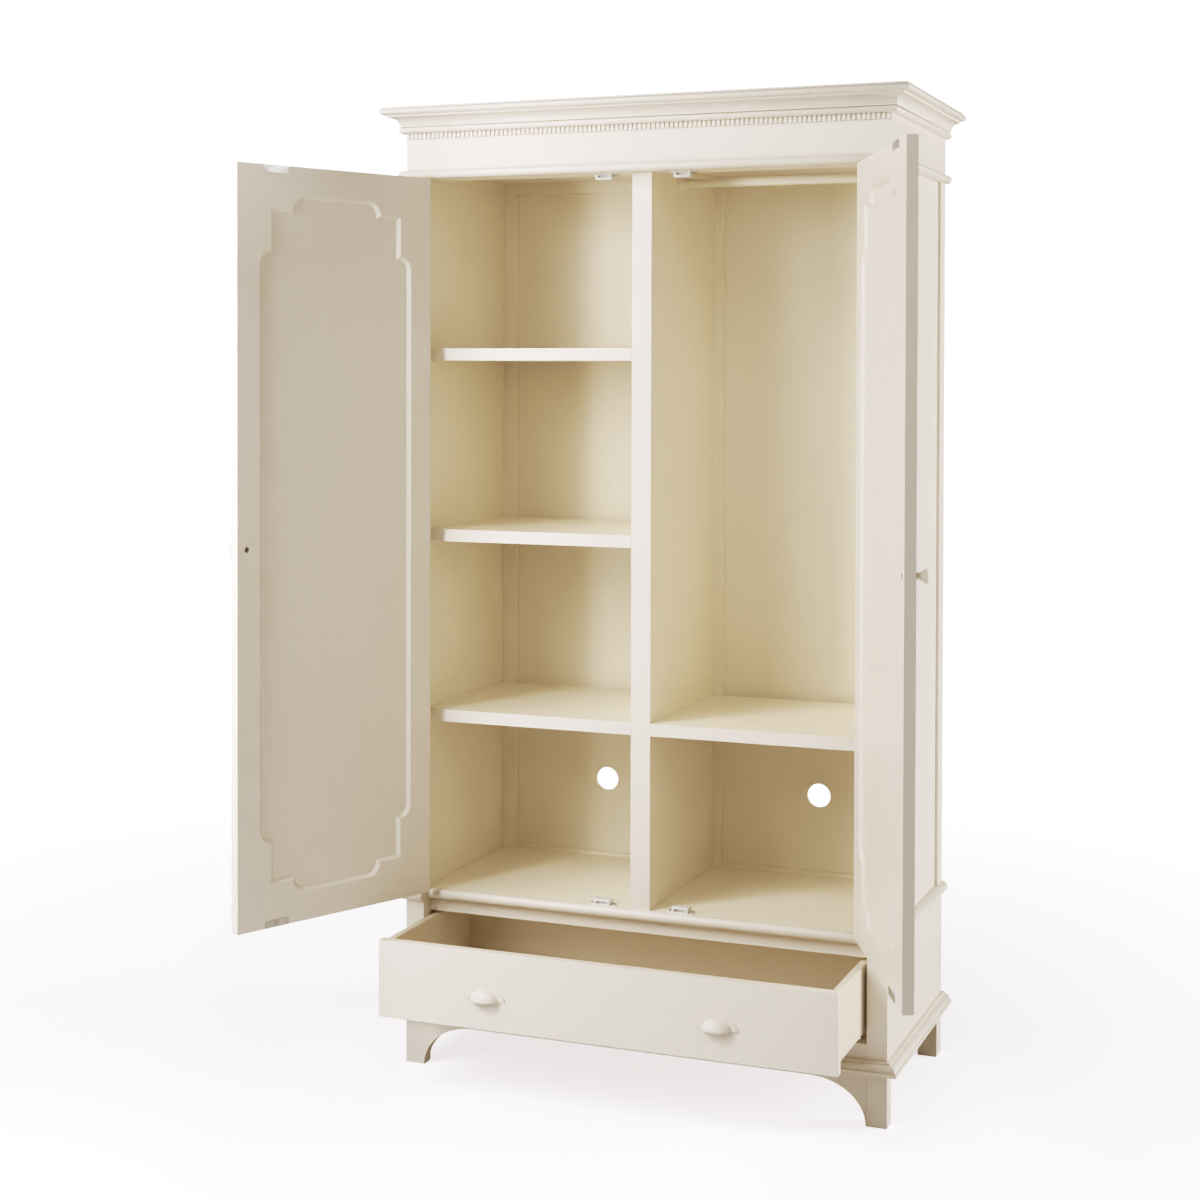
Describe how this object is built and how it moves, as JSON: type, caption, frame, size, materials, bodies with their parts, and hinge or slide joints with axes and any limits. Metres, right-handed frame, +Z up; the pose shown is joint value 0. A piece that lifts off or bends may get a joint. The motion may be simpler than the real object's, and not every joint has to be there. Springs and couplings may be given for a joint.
{
  "type": "armoire",
  "caption": "Tall free-standing painted wardrobe with hinged panelled doors, shelves on one side, a hanging rail on the other and a wide drawer below.",
  "frame": {"origin": "on the floor, mid-width, in the plane of the divider's front edge, where the closed doors' inner faces lie; it is also the middle of the bottom of the overall bounds with the doors open", "axes": "+X to the right seen from the front, +Y towards the back, +Z up"},
  "size_m": [1.3354, 0.9069, 1.95],
  "materials": {
    "ivory_paint": "satin ivory paint over wood",
    "inner_board": "thin ivory paint over board",
    "drawer_lining": "thin ivory paint over board",
    "painted_pull": "satin ivory paint over cast metal",
    "painted_rail": "satin ivory paint",
    "catch_plastic": "matte moulded plastic",
    "plated_steel": "dull zinc plating"
  },
  "bodies": {
    "carcass": {"apron": "ivory_paint", "astragal": "ivory_paint", "back_base_board": "inner_board", "back_frame": "ivory_paint", "back_panel_left": "ivory_paint", "back_panel_right": "ivory_paint", "base_moulding": "ivory_paint", "catch_screws": "plated_steel", "ceiling_board": "ivory_paint", "cornice_front": "ivory_paint", "cornice_left": "ivory_paint", "cornice_right": "ivory_paint", "dentil_strip": "ivory_paint", "divider": "ivory_paint", "door_catches": "catch_plastic", "drawer_rail": "ivory_paint", "drawer_runner_left": "inner_board", "drawer_runner_right": "inner_board", "floor_board": "ivory_paint", "frieze_front": "ivory_paint", "frieze_left": "ivory_paint", "frieze_right": "ivory_paint", "hanging_rail": "painted_rail", "hinge_post_leaves_left": "plated_steel", "hinge_post_leaves_right": "plated_steel", "post_front_left": "ivory_paint", "post_front_right": "ivory_paint", "post_rear_left": "ivory_paint", "post_rear_right": "ivory_paint", "rail_sockets": "painted_rail", "roof_board": "ivory_paint", "shelf_left_low": "ivory_paint", "shelf_left_middle": "ivory_paint", "shelf_left_top": "ivory_paint", "shelf_right": "ivory_paint", "side_base_left": "ivory_paint", "side_base_right": "ivory_paint", "side_panel_left": "ivory_paint", "side_panel_right": "ivory_paint", "top_rail": "ivory_paint", "waist_bead_left": "ivory_paint", "waist_bead_right": "ivory_paint"},
    "left_door": {"door_frame_left": "ivory_paint", "door_hinge_leaves_left": "plated_steel", "door_knob_left": "ivory_paint", "door_knob_screw_left": "plated_steel", "door_panel_left": "ivory_paint", "door_strikes_left": "plated_steel"},
    "right_door": {"door_frame_right": "ivory_paint", "door_hinge_leaves_right": "plated_steel", "door_knob_right": "ivory_paint", "door_knob_screw_right": "plated_steel", "door_panel_right": "ivory_paint", "door_strikes_right": "plated_steel"},
    "drawer": {"drawer_back": "drawer_lining", "drawer_bottom": "drawer_lining", "drawer_front": "ivory_paint", "drawer_pulls": "painted_pull", "drawer_side_left": "drawer_lining", "drawer_side_right": "drawer_lining"}
  },
  "joints": [
    {"name": "left_door_hinge", "type": "hinge", "parent": "carcass", "child": "left_door", "pos_m": [-0.463, -0.0264, 0], "axis": [0, 0, -1], "range_deg": [-114.5, 50]},
    {"name": "right_door_hinge", "type": "hinge", "parent": "carcass", "child": "right_door", "pos_m": [0.463, -0.0264, 0], "axis": [0, 0, 1], "range_deg": [-114.5, 50]},
    {"name": "drawer_slide", "type": "slide", "parent": "carcass", "child": "drawer", "axis": [0, -1, 0], "range_m": [-0.199, 0.08]}
  ]
}
